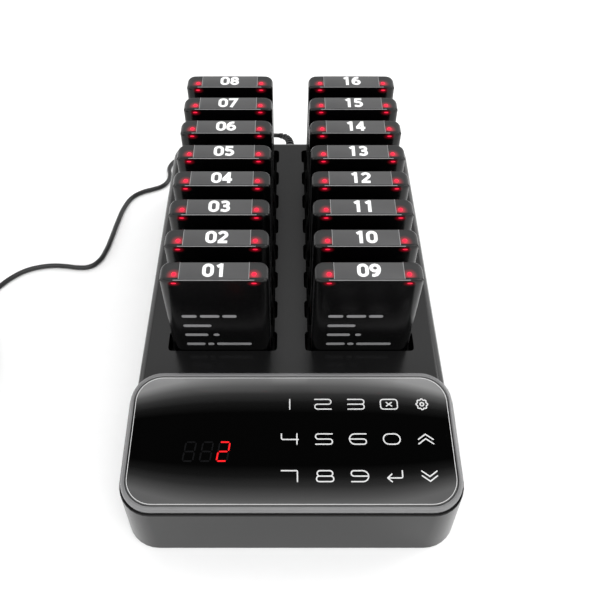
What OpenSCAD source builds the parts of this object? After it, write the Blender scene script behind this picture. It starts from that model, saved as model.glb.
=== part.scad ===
// Guest paging set: a charging base with a touch keypad, sixteen coaster pagers that stand
// in its two columns of pockets, and the low-voltage lead and wall adapter that power it.
// Millimetres. +Z is up, +Y runs from the keypad to the back, +X is to the right of a person
// who faces the keypad. The origin is on the table, below the middle of the base.

/* [Base] */
// Length of the base, front to back
base_l = 292; // [290:1:296]
// Width of the keypad head
head_w = 186; // [184:1:190]
// Length of the keypad head, front to back
head_l = 84; // [82:1:86]
// Corner radius of the keypad head
head_r = 18; // [14:1:20]
// Width of the base behind the head
rear_w = 176; // [174:1:178]
// Corner radius at the back of the base
rear_r = 14; // [10:1:18]
// Height of the deck above the table
deck_h = 50.8; // [50:0.2:53]
// Wall thickness of the housing
wall = 2.4; // [2:0.1:2.8]
// Radius that rounds the edge of the deck
deck_edge = 5; // [3:0.5:6]

/* [Keypad panel] */
// Height of the panel's rear edge above the table
panel_h = 51.9; // [51:0.1:53]
// Tilt of the panel towards the person
panel_tilt = 5; // [4:0.5:6]
// Thickness of the touch glass
glass_t = 1.8; // [1.5:0.1:2.0]
// Visible width of the bezel around the glass
bezel_rim = 2.6; // [2:0.1:3.5]

/* [Pagers] */
// Width of a pager
pager_w = 58.4; // [56:0.2:59]
// Thickness of a pager
pager_t = 13.5; // [13:0.1:14]
// Height of a pager
pager_h = 98.8; // [90:0.2:105]
// Distance from one pager to the next in a column
pitch = 24; // [23.6:0.1:24.2]
// Distance from the middle of the base to the middle of a column
column_x = 41.2; // [40.6:0.1:41.6]
// Thickness of a pager's shell
shell = 1.6; // [1.2:0.1:1.8]
// Thickness of a pager's glossy front cover
front_t = 2.2; // [1.8:0.1:2.4]

/* [Pockets] */
// Height of the pocket floor above the table
pocket_z = 18; // [17:0.5:20]
// Gap between a pager and its pocket, each side
pocket_gap = 0.4; // [0.3:0.05:0.5]
// Depth of the well that the pockets open into
well_d = 7; // [5:0.5:9]

/* [Lead] */
// Diameter of the lead
cord_d = 3.5; // [3.2:0.1:3.8]

/* [Hidden] */
ROWS = 8;
NUMBERS = ["01", "02", "03", "04", "05", "06", "07", "08",
           "09", "10", "11", "12", "13", "14", "15", "16"];

// Heights and fits of the base
foot_h = 2;
bottom_t = 2.4;
cavity_z = foot_h + bottom_t;
deck_t = 2.6;
fit = 0.2;
front_y = -base_l / 2;
back_y = base_l / 2;
head_y = front_y + head_l / 2;
front_wall = wall + 2.2;
tub_wall = 1.6;

// Panel frame: the origin is the middle of the panel's rear top edge
panel_y = front_y + head_l;
panel_l = 81.5;
bezel_w = head_w - 1.4;
rim_z = -3.4;
bezel_z = -2.8;
glass_w = bezel_w - 2 * bezel_rim;
glass_l = panel_l - 2 * bezel_rim - 0.8;
glass_z = -0.2 - glass_t;
display_x = -46.6;
display_y = -48.5;
board_z = -12;
panel_bosses = [for (x = [-60, 60], y = [-7.6, -73.9]) [x, y]];

// Column of pockets
pager_y = front_y + 99.8;
pocket_w = pager_w + 2.6 * pocket_gap;
pocket_t = pager_t + 2 * pocket_gap;
notch_w = pocket_w + 6.2;
well_w = pocket_w + 3;
well_z = deck_h - well_d;
column_l = (ROWS - 1) * pitch + pocket_t;
contact_x = 12;
contact_y = 6.6;
charge_board_z = 12;
board_t = 1.6;

// Housing screws: the head's two and the sides' three pairs
boss_h = 22;
bosses = [for (s = [-1, 1], p = [[80, front_y + 17], [79.5, -38], [79.5, 46], [79.5, 132]])
          [s * p[0], p[1]]];

// Lead: low-voltage socket in the back wall, plug, free stretch, coil and adapter
socket_z = 28;
cord_r = cord_d / 2;
boot_points = [[0, 166, 28], [0, 170, 28], [-0.5, 174, 28], [-2, 177.6, 27.8],
               [-4.8, 180.6, 27.5], [-8.4, 182.4, 27]];
boot_radii = [3.7, 3.4, 3.1, 2.8, 2.5, 2.2];
cord_route = [
    [-8.4, 182.4, 27], [-14, 184, 25.8], [-24, 185, 22.4], [-34, 185.6, 17.4],
    [-44, 186.2, 11.6], [-54, 187, 6.4], [-64, 187.8, 3], [-74, 188, 1.9],
    [-84, 187, 1.8], [-93, 183.6, 1.8], [-99.6, 177.6, 1.8], [-102, 170, 1.8],
    [-100.8, 162.4, 1.8], [-101.4, 155, 1.8], [-105.6, 148.8, 1.8], [-112.6, 145.2, 1.8],
    [-121, 141.8, 1.8], [-128.4, 135.6, 1.8], [-133.4, 124, 1.8], [-136.4, 108, 1.8],
    [-138.6, 91, 1.8], [-141, 77, 1.8], [-144.6, 67, 1.8], [-150.6, 61.4, 1.8],
    [-159, 60.6, 1.8], [-168, 61.8, 1.8], [-178, 62.4, 1.8], [-188, 61, 1.8],
    [-197.4, 57.6, 1.8], [-206, 51.2, 1.8], [-213, 43, 1.8], [-218.6, 34, 1.8],
    [-222.4, 26, 1.8], [-223.75, 20, 1.8]];
coil_center = [-250, 20];
coil_mid_r = 6 * cord_d;
coil_half = 1.5 * cord_d;
coil_h = 2 * cord_d + 0.2;
lead_x = coil_center[0] + coil_mid_r + coil_half;
lead_z = cord_r + cord_d;
adapter_size = [42, 62, 27];
adapter_x = -229;
adapter_y = coil_center[1] - 28;

// Points of a rectangle with rounded corners, centred on the origin
function rounded_points(w, l, r, steps = 6) = [
    for (c = [0:3]) for (s = [0:steps])
        let (a = 90 * c + 90 * s / steps,
             sx = (c == 0 || c == 3) ? 1 : -1, sy = c < 2 ? 1 : -1)
        [sx * (w / 2 - r) + r * cos(a), sy * (l / 2 - r) + r * sin(a)]];

module rounded_rect(w, l, r) {
    polygon(rounded_points(w, l, r));
}

module slab(w, l, r, z0, z1) {
    translate([0, 0, z0])
        linear_extrude(z1 - z0)
            rounded_rect(w, l, r);
}

module block(x0, x1, y0, y1, z0, z1) {
    translate([x0, y0, z0])
        cube([x1 - x0, y1 - y0, z1 - z0]);
}

module on_panel() {
    translate([0, panel_y, panel_h])
        rotate([panel_tilt, 0, 0])
            children();
}

module panel_slab(w, l, r, z0, z1) {
    translate([0, -panel_l / 2, 0])
        slab(w, l, r, z0, z1);
}

// A tube of any radii along a route: one ring of sides at each point
function unit(v) = v / norm(v);
function heading(p, i) =
    unit(p[min(i + 1, len(p) - 1)] - p[max(i - 1, 0)]);
function ring(c, d, r, sides) =
    let (u = unit(cross(d, [0, 0, 1])), v = cross(u, d))
    [for (k = [0:sides - 1]) c + r * (u * cos(360 * k / sides) + v * sin(360 * k / sides))];

module tube(points, radii, sides, start, finish) {
    n = len(points);
    rings = [for (i = [0:n - 1])
             for (q = ring(points[i],
                           i == 0 ? start : i == n - 1 ? finish : heading(points, i),
                           radii[i], sides)) q];
    faces = concat(
        [[for (k = [sides - 1:-1:0]) k]],
        [for (i = [0:n - 2]) for (k = [0:sides - 1])
            [i * sides + k, i * sides + (k + 1) % sides,
             (i + 1) * sides + (k + 1) % sides, (i + 1) * sides + k]],
        [[for (k = [0:sides - 1]) (n - 1) * sides + k]]);
    polyhedron(points = rings, faces = faces, convexity = 6);
}

// Place of a pager: index 0 to 7 is the left column front to back, 8 to 15 the right
module at_pager(i) {
    translate([i < ROWS ? -column_x : column_x, pager_y + (i % ROWS) * pitch, pocket_z])
        children();
}

module each_pager() {
    for (i = [0:2 * ROWS - 1])
        at_pager(i)
            children();
}

module each_contact() {
    for (x = [-contact_x, contact_x])
        translate([x, contact_y, 0])
            children();
}

// ---------- base ----------

// The deck's block, with its upper edge rounded in three flats
module rear_block() {
    l = back_y - panel_y + 24;
    hull() {
        for (t = [[0, 0], [0.3, 0.65], [1, 1]])
            translate([0, back_y - l / 2, 0])
                slab(rear_w - 2 * deck_edge * t[0], l - 2 * deck_edge * t[0],
                     rear_r - deck_edge * t[0], foot_h, deck_h - deck_edge * (1 - t[1]));
    }
}

module head_block() {
    difference() {
        translate([0, head_y, 0])
            slab(head_w, head_l, head_r, foot_h, deck_h + 4);
        on_panel()
            block(-head_w, head_w, -2 * head_l, head_l, rim_z, 30);
    }
}

// Inside of the head, whose front wall is thick enough to carry the bezel
module head_inside(gap, z0, z1) {
    translate([0, head_y + (front_wall - wall) / 2, 0])
        slab(head_w - 2 * (wall + gap), head_l - wall - front_wall - 2 * gap,
             head_r - wall, z0, z1);
}

module housing_cavity() {
    l = back_y - panel_y + 24 - 2 * wall;
    translate([0, back_y - wall - l / 2, 0])
        slab(rear_w - 2 * wall, l, rear_r - wall, foot_h - 1, deck_h - deck_t);
    head_inside(0, foot_h - 1, deck_h + 4);
}

// Below the bezel the housing ends in a level rim
module panel_recess() {
    on_panel()
        panel_slab(bezel_w + 0.6, panel_l + 0.6, head_r, rim_z, 30);
}

module column_tub() {
    w = pocket_w + 2 * tub_wall;
    block(-w / 2, w / 2, -pocket_gap - tub_wall, column_l - pocket_gap + tub_wall,
          pocket_z - tub_wall, deck_h - deck_t / 2);
}

module well_outline() {
    translate([0, column_l / 2 - pocket_gap])
        rounded_rect(well_w, column_l, 2);
    for (i = [0:ROWS - 1])
        translate([0, i * pitch + pager_t / 2])
            rounded_rect(notch_w, pocket_t, 2.5);
}

module column_voids() {
    translate([0, 0, well_z])
        linear_extrude(20)
            well_outline();
    for (i = [0:ROWS - 1])
        translate([0, i * pitch, 0])
            block(-pocket_w / 2, pocket_w / 2, -pocket_gap, pager_t + pocket_gap,
                  pocket_z, well_z + 1);
    for (i = [0:ROWS - 2])
        translate([0, i * pitch + pocket_t - pocket_gap + tub_wall, 0])
            block(-pocket_w / 2, pocket_w / 2, 0, pitch - pocket_t - 2 * tub_wall,
                  pocket_z - 4, well_z - 2.4);
}

module each_column() {
    for (s = [-1, 1])
        translate([s * column_x, pager_y, 0])
            children();
}

module screw_boss(p) {
    translate([p[0], p[1], cavity_z])
        cylinder(r = 3.5, h = boss_h, $fn = 32);
    s = sign(p[0]);
    x1 = abs(p[0]) + 1;
    x2 = (p[1] < panel_y ? head_w : rear_w) / 2 - wall / 2;
    translate([s > 0 ? x1 : -x2, p[1] - 0.8, cavity_z])
        cube([x2 - x1, 1.6, boss_h]);
}

module base_housing() {
    color("#2c2c2e")
        difference() {
            union() {
                difference() {
                    union() {
                        head_block();
                        rear_block();
                    }
                    housing_cavity();
                }
                each_column()
                    column_tub();
                for (p = bosses)
                    screw_boss(p);
            }
            panel_recess();
            each_column()
                column_voids();
            for (p = bosses)
                translate([p[0], p[1], cavity_z - 1])
                    cylinder(r = 1.4, h = 15, $fn = 24);
            each_pager()
                each_contact()
                    translate([0, 0, -3])
                        cylinder(r = 1.5, h = 4, $fn = 24);
            translate([0, back_y + 1, socket_z])
                rotate([90, 0, 0])
                    cylinder(r = 5.2, h = wall + 2, $fn = 32);
        }
}

module base_bottom() {
    l = back_y - panel_y + 24 - 2 * (wall + fit);
    color("#1f1f21")
        difference() {
            union() {
                translate([0, back_y - wall - fit - l / 2, 0])
                    slab(rear_w - 2 * (wall + fit), l, rear_r - wall, foot_h, cavity_z);
                head_inside(fit, foot_h, cavity_z);
                for (s = [-1, 1], x = [-22, 22], i = [1, 4, 6])
                    translate([s * column_x + x, pager_y + i * pitch - 5, cavity_z - 0.5])
                        cylinder(r = 2.5, h = charge_board_z - cavity_z + 0.5, $fn = 24);
            }
            for (p = bosses)
                translate([p[0], p[1], 0]) {
                    cylinder(r = 1.6, h = 10, $fn = 24);
                    cylinder(r = 3.1, h = foot_h + 1.4, $fn = 32);
                }
            for (p = feet)
                translate([p[0], p[1], 0])
                    cylinder(r = 7.2, h = foot_h + 1, $fn = 48);
        }
}

feet = [for (x = [-68, 68], y = [front_y + 20, 0, back_y - 22]) [x, y]];

module rubber_feet() {
    color("#141414")
        for (p = feet)
            translate([p[0], p[1], 0])
                cylinder(r = 7, h = foot_h + 1, $fn = 48);
}

// Pan-head screw that points up, with the underside of its head at z = 0
module screw() {
    translate([0, 0, -1.3])
        cylinder(r = 2.7, h = 1.3, $fn = 32);
    cylinder(r = 1.25, h = 11, $fn = 24);
}

module screws() {
    color("#9a9a9e") {
        for (p = bosses)
            translate([p[0], p[1], foot_h + 1.4])
                screw();
        on_panel()
            for (p = panel_bosses)
                translate([p[0], p[1], board_z])
                    scale([0.6, 0.6, 0.6])
                        screw();
    }
}

module keypad_bezel() {
    lip_w = head_w - 2 * (wall + fit);
    lip_l = head_l - 2 * (wall + fit) - 4.4;
    color("#57575b")
        on_panel()
            difference() {
                union() {
                    panel_slab(bezel_w, panel_l, head_r - 0.3, bezel_z, 0);
                    panel_slab(bezel_w - 1.6, panel_l - 1.6, head_r - 1, rim_z, bezel_z);
                    panel_slab(lip_w, lip_l, head_r - wall - 1, rim_z - 3.6, rim_z);
                    for (p = panel_bosses)
                        translate([p[0], p[1], board_z + board_t])
                            cylinder(r = 2.6, h = rim_z - board_z - board_t, $fn = 24);
                }
                panel_slab(glass_w + 0.3, glass_l + 0.3, head_r - bezel_rim, glass_z, 5);
                difference() {
                    panel_slab(glass_w - 6, glass_l - 6, head_r - bezel_rim - 3, -20, 5);
                    for (p = panel_bosses)
                        translate([p[0], p[1], -21])
                            cylinder(r = 2.6, h = 21 + rim_z, $fn = 24);
                }
                for (p = panel_bosses)
                    translate([p[0], p[1], board_z])
                        cylinder(r = 0.9, h = 7.4, $fn = 24);
            }
}

module touch_glass() {
    color("#0a0a0c")
        on_panel()
            panel_slab(glass_w, glass_l, head_r - bezel_rim, glass_z, -0.2);
}

module touch_sensor() {
    color("#3c4a2c")
        on_panel()
            difference() {
                panel_slab(glass_w - 7, glass_l - 7, head_r - bezel_rim - 3.5,
                           glass_z - 1, glass_z);
                translate([display_x, display_y, 0])
                    block(-16, 16, -9, 9, -10, 0);
            }
}

module display_module() {
    color("#26262a")
        on_panel()
            translate([display_x, display_y, 0])
                block(-15.2, 15.2, -8.2, 8.2, board_z + board_t, glass_z - 0.1);
}

module control_board() {
    top = board_z + board_t;
    color("#1d5b38")
        on_panel()
            difference() {
                union() {
                    block(-78, 78, -77.5, -4, board_z, top);
                    // processor, radio module, voltage regulator and connectors
                    block(20, 32, -46, -34, top, top + 1.4);
                    block(48, 68, -30, -16, top, top + 2.2);
                    block(-70, -60, -26, -18, top, top + 2.4);
                    block(-10, 10, -74, -68, board_z - 5, board_z);
                    block(30, 50, -66, -60, board_z - 4, board_z);
                }
                for (p = panel_bosses)
                    translate([p[0], p[1], board_z - 1])
                        cylinder(r = 1, h = 4, $fn = 24);
            }
}

module antenna() {
    color("#b08d4c")
        on_panel()
            translate([30, -20, board_z - 3.2])
                rotate([0, 90, 0])
                    cylinder(r = 2.6, h = 44, $fn = 24);
}

module key_beeper() {
    color("#18181a")
        on_panel()
            translate([-40, -24, board_z - 6.6])
                difference() {
                    cylinder(r = 6, h = 6.5, $fn = 40);
                    translate([0, 0, -1])
                        cylinder(r = 1, h = 3, $fn = 24);
                }
}

module charge_board(side) {
    color("#1d5b38")
        translate([side * column_x, pager_y, charge_board_z]) {
            block(-28, 28, -2, column_l + 1, 0, board_t);
            block(-side * 20 - 5, -side * 20 + 5, -1, 5, -4, 0);
        }
}

module charge_pins() {
    color("#d8b04a")
        each_pager()
            each_contact()
                translate([0, 0, charge_board_z + board_t - pocket_z]) {
                    cylinder(r = 1.3, h = 2.4, $fn = 24);
                    cylinder(r = 0.9, h = pocket_z - charge_board_z - board_t + 0.4, $fn = 24);
                }
}

module wire_harness() {
    plug_y = panel_y - 71 * cos(panel_tilt);
    plug_z = panel_h - 71 * sin(panel_tilt) + board_z - 6;
    color("#c0392b")
        union() {
            block(-5, 5, plug_y + 2, back_y - 15, 8, 9);
            block(-5, 5, plug_y, plug_y + 2, 8, plug_z);
            block(-16, -5, pager_y + 1, pager_y + 3, 8, 9);
            block(5, 16, pager_y + 1, pager_y + 3, 8, 9);
            block(-3, 3, back_y - 16, back_y - 15, 8, socket_z - 6.2);
        }
}

// ---------- lead ----------

module dc_jack() {
    color("#101012")
        translate([0, back_y - wall - 0.1, socket_z])
            rotate([90, 0, 0])
                difference() {
                    translate([-4.5, -6, 0])
                        cube([9, 12, 14]);
                    difference() {
                        translate([0, 0, -1])
                            cylinder(r = 3, h = 12, $fn = 32);
                        cylinder(r = 1, h = 13, $fn = 24);
                    }
                }
}

module cord_plug() {
    color("#111113")
        union() {
            translate([0, boot_points[0][1], socket_z])
                rotate([90, 0, 0])
                    difference() {
                        union() {
                            cylinder(r = 4.7, h = boot_points[0][1] - back_y + 1.9, $fn = 40);
                            cylinder(r = 2.75, h = boot_points[0][1] - back_y + 12, $fn = 32);
                        }
                        translate([0, 0, boot_points[0][1] - back_y])
                            cylinder(r = 1.25, h = 20, $fn = 24);
                    }
            tube(boot_points, boot_radii, 12, [0, 1, 0], unit(cord_route[1] - cord_route[0]));
        }
}

module power_cord() {
    color("#161618")
        tube(cord_route, [for (p = cord_route) cord_r - 0.02], 8,
             unit(cord_route[1] - cord_route[0]), [0, -1, 0]);
}

module cord_coil() {
    color("#161618")
        translate([coil_center[0], coil_center[1], 0])
            rotate_extrude($fn = 64)
                translate([coil_mid_r, coil_h / 2])
                    rounded_rect(2 * coil_half + cord_d, coil_h, cord_r);
}

module wall_adapter() {
    color("#19191b") {
        translate([adapter_x, adapter_y - adapter_size[1] / 2, 0])
            slab(adapter_size[0], adapter_size[1], 6, 0, adapter_size[2]);
        translate([lead_x, adapter_y + 19, lead_z])
            rotate([90, 0, 0])
                cylinder(r1 = 2.4, r2 = 4.2, h = 19.5, $fn = 32);
    }
}

module adapter_prongs() {
    color("#c9c9cc")
        for (s = [-1, 1])
            translate([adapter_x + s * 6.35 - 0.75,
                       adapter_y - adapter_size[1] - 17, adapter_size[2] / 2 - 3.2])
                cube([1.5, 17, 6.4]);
}

// ---------- pagers, each in its own frame: front face at y = 0, lower edge at z = 0 ----------

body_y = front_t + 0.1;
rim_t = 1;
corner_r = 6.5;
lens_x = 21.3;
lens_y = 4.6;

// Flat across the front, rounded at the two back corners
function rear_outline(inset, y0) = concat(
    [[-pager_w / 2 + inset, y0], [pager_w / 2 - inset, y0]],
    [for (s = [0:6]) let (a = 15 * s)
        [pager_w / 2 - corner_r + (corner_r - inset) * cos(a),
         pager_t - corner_r + (corner_r - inset) * sin(a)]],
    [for (s = [0:6]) let (a = 90 + 15 * s)
        [-pager_w / 2 + corner_r + (corner_r - inset) * cos(a),
         pager_t - corner_r + (corner_r - inset) * sin(a)]]);

module pager_front_cover() {
    color("#050506")
        difference() {
            union() {
                translate([0, front_t, pager_h / 2])
                    rotate([90, 0, 0])
                        slab(pager_w, pager_h, 2.5, 0, front_t);
                translate([0, front_t + rim_t, pager_h / 2])
                    rotate([90, 0, 0])
                        slab(pager_w - 2 * shell - 0.4, pager_h - 2 * shell - 0.4, 1.5, 0, rim_t);
            }
            translate([0, front_t + 5, pager_h / 2])
                rotate([90, 0, 0])
                    slab(pager_w - 2 * shell - 3, pager_h - 2 * shell - 3, 1, 0, 5);
        }
}

module pager_rear_cover() {
    color("#303033")
        difference() {
            linear_extrude(pager_h)
                polygon(rear_outline(0, body_y));
            translate([0, 0, shell])
                linear_extrude(pager_h - 2 * shell)
                    polygon(rear_outline(shell, body_y - 1));
            for (s = [-1, 1])
                translate([s * lens_x, lens_y, pager_h - shell - 1])
                    cylinder(r = 1.3, h = 4, $fn = 24);
            each_contact()
                translate([0, 0, -1])
                    cylinder(r = 2, h = 4, $fn = 24);
        }
}

module pager_board() {
    color("#1d5b38")
        block(-25, 25, 6, 7.2, 6, 91);
}

module pager_battery() {
    color("#b9bcc4")
        block(-17, 17, 7.4, 11.5, 9, 52);
}

module pager_lenses() {
    color("#ff2040")
        for (s = [-1, 1])
            translate([s * lens_x, lens_y, 91.2])
                cylinder(r = 1.15, h = pager_h - 91.2 - 0.1, $fn = 24);
}

module pager_contacts() {
    color("#d8b04a")
        each_contact() {
            translate([0, 0, 0.5])
                cylinder(r = 1.8, h = 1.5, $fn = 24);
            translate([0, 0, 2])
                cylinder(r = 0.6, h = 3.9, $fn = 24);
        }
}

// Cylindrical vibration motor, its shaft along x, and the half-round weight on that shaft
motor_at = [-4, 9.6, 72];
weight_x = 8.6;

module pager_motor() {
    color("#b0b3b8")
        translate(motor_at)
            rotate([0, 90, 0])
                difference() {
                    cylinder(r = 2.15, h = 8, $fn = 32);
                    translate([0, 0, 4])
                        cylinder(r = 0.5, h = 5, $fn = 24);
                }
}

module pager_motor_weight() {
    color("#8c6b2f")
        translate(motor_at)
            rotate([0, 90, 0]) {
                translate([0, 0, 4.2])
                    cylinder(r = 0.4, h = 8, $fn = 24);
                translate([0, 0, weight_x])
                    difference() {
                        cylinder(r = 2, h = 3.4, $fn = 32);
                        translate([-3, 0.5, -1])
                            cube([6, 3, 6]);
                    }
            }
}

module pager_buzzer() {
    color("#18181a")
        translate([-16, 11, 70])
            rotate([90, 0, 0])
                difference() {
                    cylinder(r = 6, h = 3.6, $fn = 40);
                    translate([0, 0, -1])
                        cylinder(r = 1, h = 3, $fn = 24);
                }
}

module pager_rear_unit() {
    pager_rear_cover();
    pager_board();
    pager_battery();
    pager_lenses();
    pager_contacts();
}

base_housing();
base_bottom();
keypad_bezel();
touch_glass();
touch_sensor();
display_module();
control_board();
antenna();
key_beeper();
dc_jack();
charge_board(-1);  // charge_board_left
charge_board(1);  // charge_board_right
charge_pins();
wire_harness();
screws();
rubber_feet();
cord_plug();
power_cord();
cord_coil();
wall_adapter();
adapter_prongs();
at_pager(0) pager_front_cover();  // pager_01_front_cover
at_pager(0) pager_rear_cover();  // pager_01_rear_cover
at_pager(0) pager_board();  // pager_01_board
at_pager(0) pager_battery();  // pager_01_battery
at_pager(0) pager_motor();  // pager_01_motor
at_pager(0) pager_motor_weight();  // pager_01_motor_weight
at_pager(0) pager_buzzer();  // pager_01_buzzer
at_pager(0) pager_contacts();  // pager_01_contacts
at_pager(0) pager_lenses();  // pager_01_lenses
for (i = [1:15])
    at_pager(i) pager_front_cover();
for (i = [1:15])
    at_pager(i) pager_rear_unit();
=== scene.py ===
"""Looks of a guest paging set: a charging base with a touch keypad, sixteen coaster pagers in its
two columns of pockets, and the lead to its wall adapter. Metres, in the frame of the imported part."""

import math

import bmesh
import bpy
from mathutils import Matrix, Vector


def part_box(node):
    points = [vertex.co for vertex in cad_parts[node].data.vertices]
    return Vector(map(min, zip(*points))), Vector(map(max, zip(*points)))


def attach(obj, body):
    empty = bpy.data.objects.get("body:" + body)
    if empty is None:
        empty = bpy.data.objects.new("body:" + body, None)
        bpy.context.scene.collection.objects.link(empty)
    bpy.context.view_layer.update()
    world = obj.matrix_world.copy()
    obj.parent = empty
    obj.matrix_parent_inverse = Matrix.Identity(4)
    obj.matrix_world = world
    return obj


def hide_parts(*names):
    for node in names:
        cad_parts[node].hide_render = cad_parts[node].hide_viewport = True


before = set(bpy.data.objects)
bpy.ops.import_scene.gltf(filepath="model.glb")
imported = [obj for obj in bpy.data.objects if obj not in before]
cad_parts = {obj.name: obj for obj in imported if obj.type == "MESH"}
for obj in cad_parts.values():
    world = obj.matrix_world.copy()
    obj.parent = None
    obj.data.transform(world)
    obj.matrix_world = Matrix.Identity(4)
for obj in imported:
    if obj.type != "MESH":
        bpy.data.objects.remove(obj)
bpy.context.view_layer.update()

MM = 0.001

# ---------- sizes, from the frame where it gives them ----------

housing_low, housing_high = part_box("base_housing")
FRONT_Y, BACK_Y = housing_low.y, housing_high.y
DECK_Z = housing_high.z
HEAD_W, HEAD_L, HEAD_R = housing_high.x - housing_low.x, 84 * MM, 18 * MM
REAR_W, REAR_R = 176 * MM, 14 * MM
REAR_L = BACK_Y - FRONT_Y - HEAD_L + 24 * MM
DECK_EDGE, WALL, DECK_T = 5 * MM, 2.4 * MM, 2.6 * MM
SKIRT_Z, REAR_FLARE, DRAFT = 0.4 * MM, 0.022, 1.5 * MM
LEDGE, LEAN, FOOT_X = 2.2 * MM, 1.7 * MM, 68 * MM
HEAD_Y = FRONT_Y + HEAD_L / 2
REAR_Y = BACK_Y - REAR_L / 2

PANEL_Y, PANEL_Z, PANEL_TILT = FRONT_Y + HEAD_L, DECK_Z + 1.1 * MM, math.radians(5)
PANEL_L, RIM_Z, BEZEL_Z = 81.5 * MM, -3.4 * MM, -2.8 * MM
BEZEL_W, BEZEL_RIM = HEAD_W - 1.4 * MM, 2.6 * MM
GLASS_W, GLASS_L = BEZEL_W - 2 * BEZEL_RIM, PANEL_L - 2 * BEZEL_RIM - 0.8 * MM
GLASS_T, GLASS_TOP = 1.8 * MM, -0.2 * MM
panel_place = Matrix.Translation((0, PANEL_Y, PANEL_Z)) @ Matrix.Rotation(PANEL_TILT, 4, "X")

PAGERS = [f"{n:02d}" for n in range(1, 17)]
ROWS = 8
cover_low, cover_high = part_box("pager_01_front_cover")
PAGER_W, PAGER_H = cover_high.x - cover_low.x, cover_high.z - cover_low.z
PAGER_T, FRONT_T = 13.5 * MM, 2.2 * MM
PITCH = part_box("pager_02_front_cover")[0].y - cover_low.y
PAGER_Y, POCKET_Z = cover_low.y, cover_low.z
COLUMNS = [side * (cover_low.x + cover_high.x) / 2 for side in (1, -1)]
POCKET_GAP = 0.4 * MM
POCKET_W, POCKET_T = PAGER_W + 2.6 * POCKET_GAP, PAGER_T + 2 * POCKET_GAP
WELL_W, NOTCH_W, WELL_Z = POCKET_W + 3 * MM, POCKET_W + 6.2 * MM, DECK_Z - 7 * MM
COLUMN_L = (ROWS - 1) * PITCH + POCKET_T
LENS_X, LENS_Y, WINDOW_DOWN = 21.3 * MM, 4.6 * MM, 2.2 * MM
CONTACT_X, CONTACT_Y = 12 * MM, 6.6 * MM

CORD_D = 3.5 * MM
SOCKET_Z, SOCKET_R = 28 * MM, 5.2 * MM
backward = Matrix.Rotation(math.radians(-90), 4, "X")
socket_place = Matrix.Translation((0, 0, SOCKET_Z)) @ backward


# ---------- camera ----------

camera_data = bpy.data.cameras.new("camera")
camera = bpy.data.objects.new("camera", camera_data)
bpy.context.scene.collection.objects.link(camera)
bpy.context.scene.camera = camera
camera_data.sensor_width = 36
camera_data.lens = 41.8
camera_data.shift_x = 0.0218
camera_data.clip_start = 0.01
camera_data.clip_end = 20
camera.location = (-0.0025, -0.278, 0.4006)
camera.rotation_euler = (math.radians(90 - 52.34), 0, 0)
bpy.context.scene.view_settings.view_transform = "Standard"


# ---------- finishes ----------

def tint(color, share):
    return (*[min(1, c * share) for c in color], 1)


def set_inputs(node, inputs):
    for key, value in dict(inputs).items():
        node.inputs[key].default_value = value


def add_node(tree, kind, inputs=(), operation=None):
    """A shader node with some of its inputs set, by name or by number."""
    node = tree.nodes.new("ShaderNode" + kind)
    if operation:
        node.operation = operation
    set_inputs(node, inputs)
    return node


def color_mix(tree):
    node = add_node(tree, "Mix")
    node.data_type = "RGBA"
    return node


def wire(tree, *links):
    """Joins nodes. Each link is (node, output, next node, input), or two nodes to join by the
    first output and the first input."""
    for link in links:
        source, output, target, entry = link if len(link) == 4 else (link[0], 0, link[1], 0)
        tree.links.new(source.outputs[output], target.inputs[entry])


def grey_ramp(tree, levels, top=1.0):
    """A ramp of greys through pairs (place, level), each level divided by top."""
    ramp = add_node(tree, "ValToRGB")
    stops = ramp.color_ramp.elements
    while len(stops) < len(levels):
        stops.new(0.5)
    for stop, (place, level) in zip(stops, levels):
        stop.position = place
        stop.color = (*[level / top] * 3, 1)
    return ramp


def parts_of(material):
    """The material's node tree and its shader."""
    return material.node_tree, material.node_tree.nodes["Principled BSDF"]


def finish(name, color, roughness, grain=0.1, grain_size=0.35, uneven=0.12, spread=0.1,
           metallic=0.0, shine=0.5, ior=1.5):
    """A moulded, printed or metal surface: colour drifts slowly by spread and gloss by uneven,
    and a fine grain stands up by grain, its grains grain_size millimetres apart."""
    material = bpy.data.materials.new(name)
    material.use_nodes = True
    tree, shader = parts_of(material)
    set_inputs(shader, {"Metallic": metallic, "IOR": ior, "Specular IOR Level": shine})
    coords = add_node(tree, "TexCoord")
    slow = add_node(tree, "TexNoise", {"Scale": 90, "Detail": 4})
    fine = add_node(tree, "TexNoise", {"Scale": 1 / (grain_size * MM), "Detail": 3})
    blend = color_mix(tree)
    set_inputs(blend, {"A": tint(color, 1 - spread), "B": tint(color, 1 + spread)})
    gloss = add_node(tree, "MapRange", {"To Min": roughness * (1 - uneven),
                                        "To Max": min(1, roughness * (1 + uneven))})
    bump = add_node(tree, "Bump", {"Strength": grain, "Distance": 0.1 * grain_size * MM})
    wire(tree, (coords, "Object", slow, "Vector"), (coords, "Object", fine, "Vector"),
         (slow, "Fac", blend, "Factor"), (blend, "Result", shader, "Base Color"),
         (fine, gloss), (gloss, 0, shader, "Roughness"), (fine, "Fac", bump, "Height"),
         (bump, "Normal", shader, "Normal"))
    return material


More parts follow.
